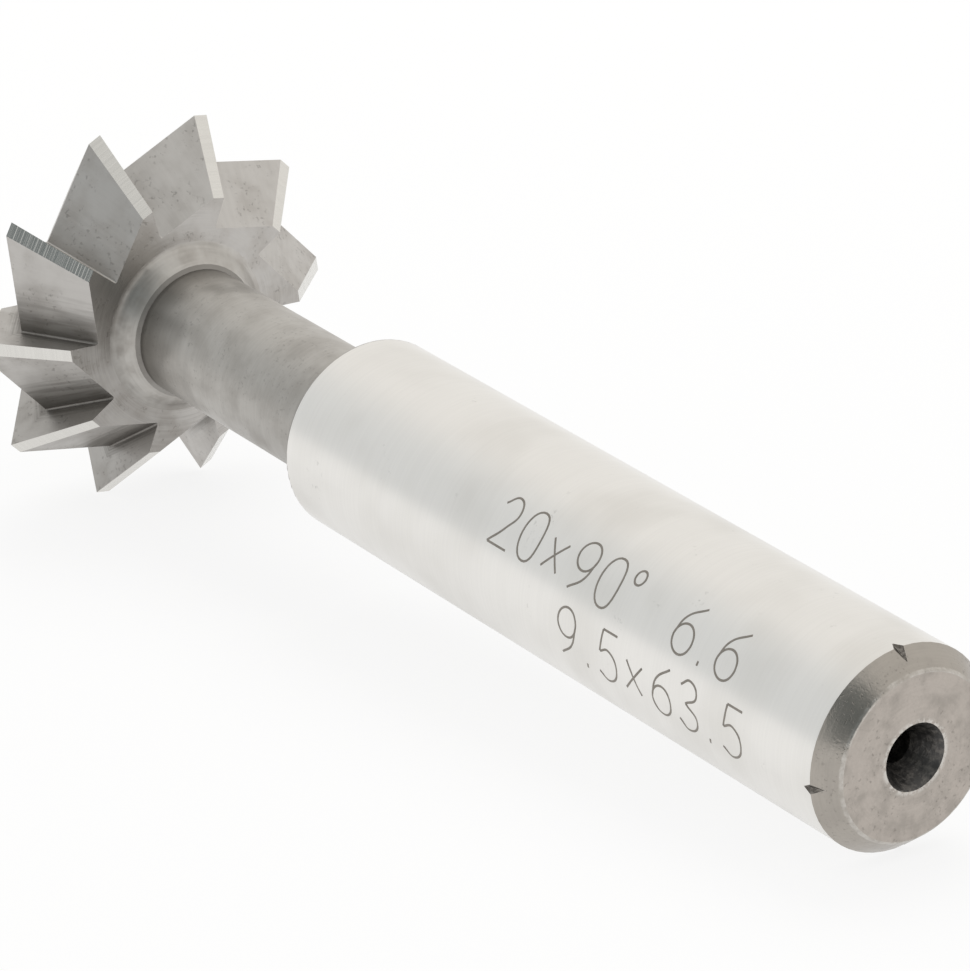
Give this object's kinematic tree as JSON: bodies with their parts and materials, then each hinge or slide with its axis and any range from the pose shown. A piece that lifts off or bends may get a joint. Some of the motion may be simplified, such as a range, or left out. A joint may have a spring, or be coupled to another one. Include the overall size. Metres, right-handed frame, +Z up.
{
  "type": "double angle milling cutter",
  "caption": "Double angle milling cutter with straight teeth ground to a V rim, a relieved neck and a plain straight shank for a collet or end-mill holder.",
  "frame": {"origin": "on the table, below the middle of the cutter's box as it lies on two tooth tips and the rim of the shank end", "axes": "+X towards the free end of the shank (the axis dips about 4.6 degrees that way), +Z up from the table"},
  "size_m": [0.0642, 0.02, 0.0191],
  "materials": {
    "tool_steel": "ground shank, satin heat-treated neck and head, bright lands"
  },
  "bodies": {
    "root": {"cutter": "tool_steel"}
  },
  "joints": []
}
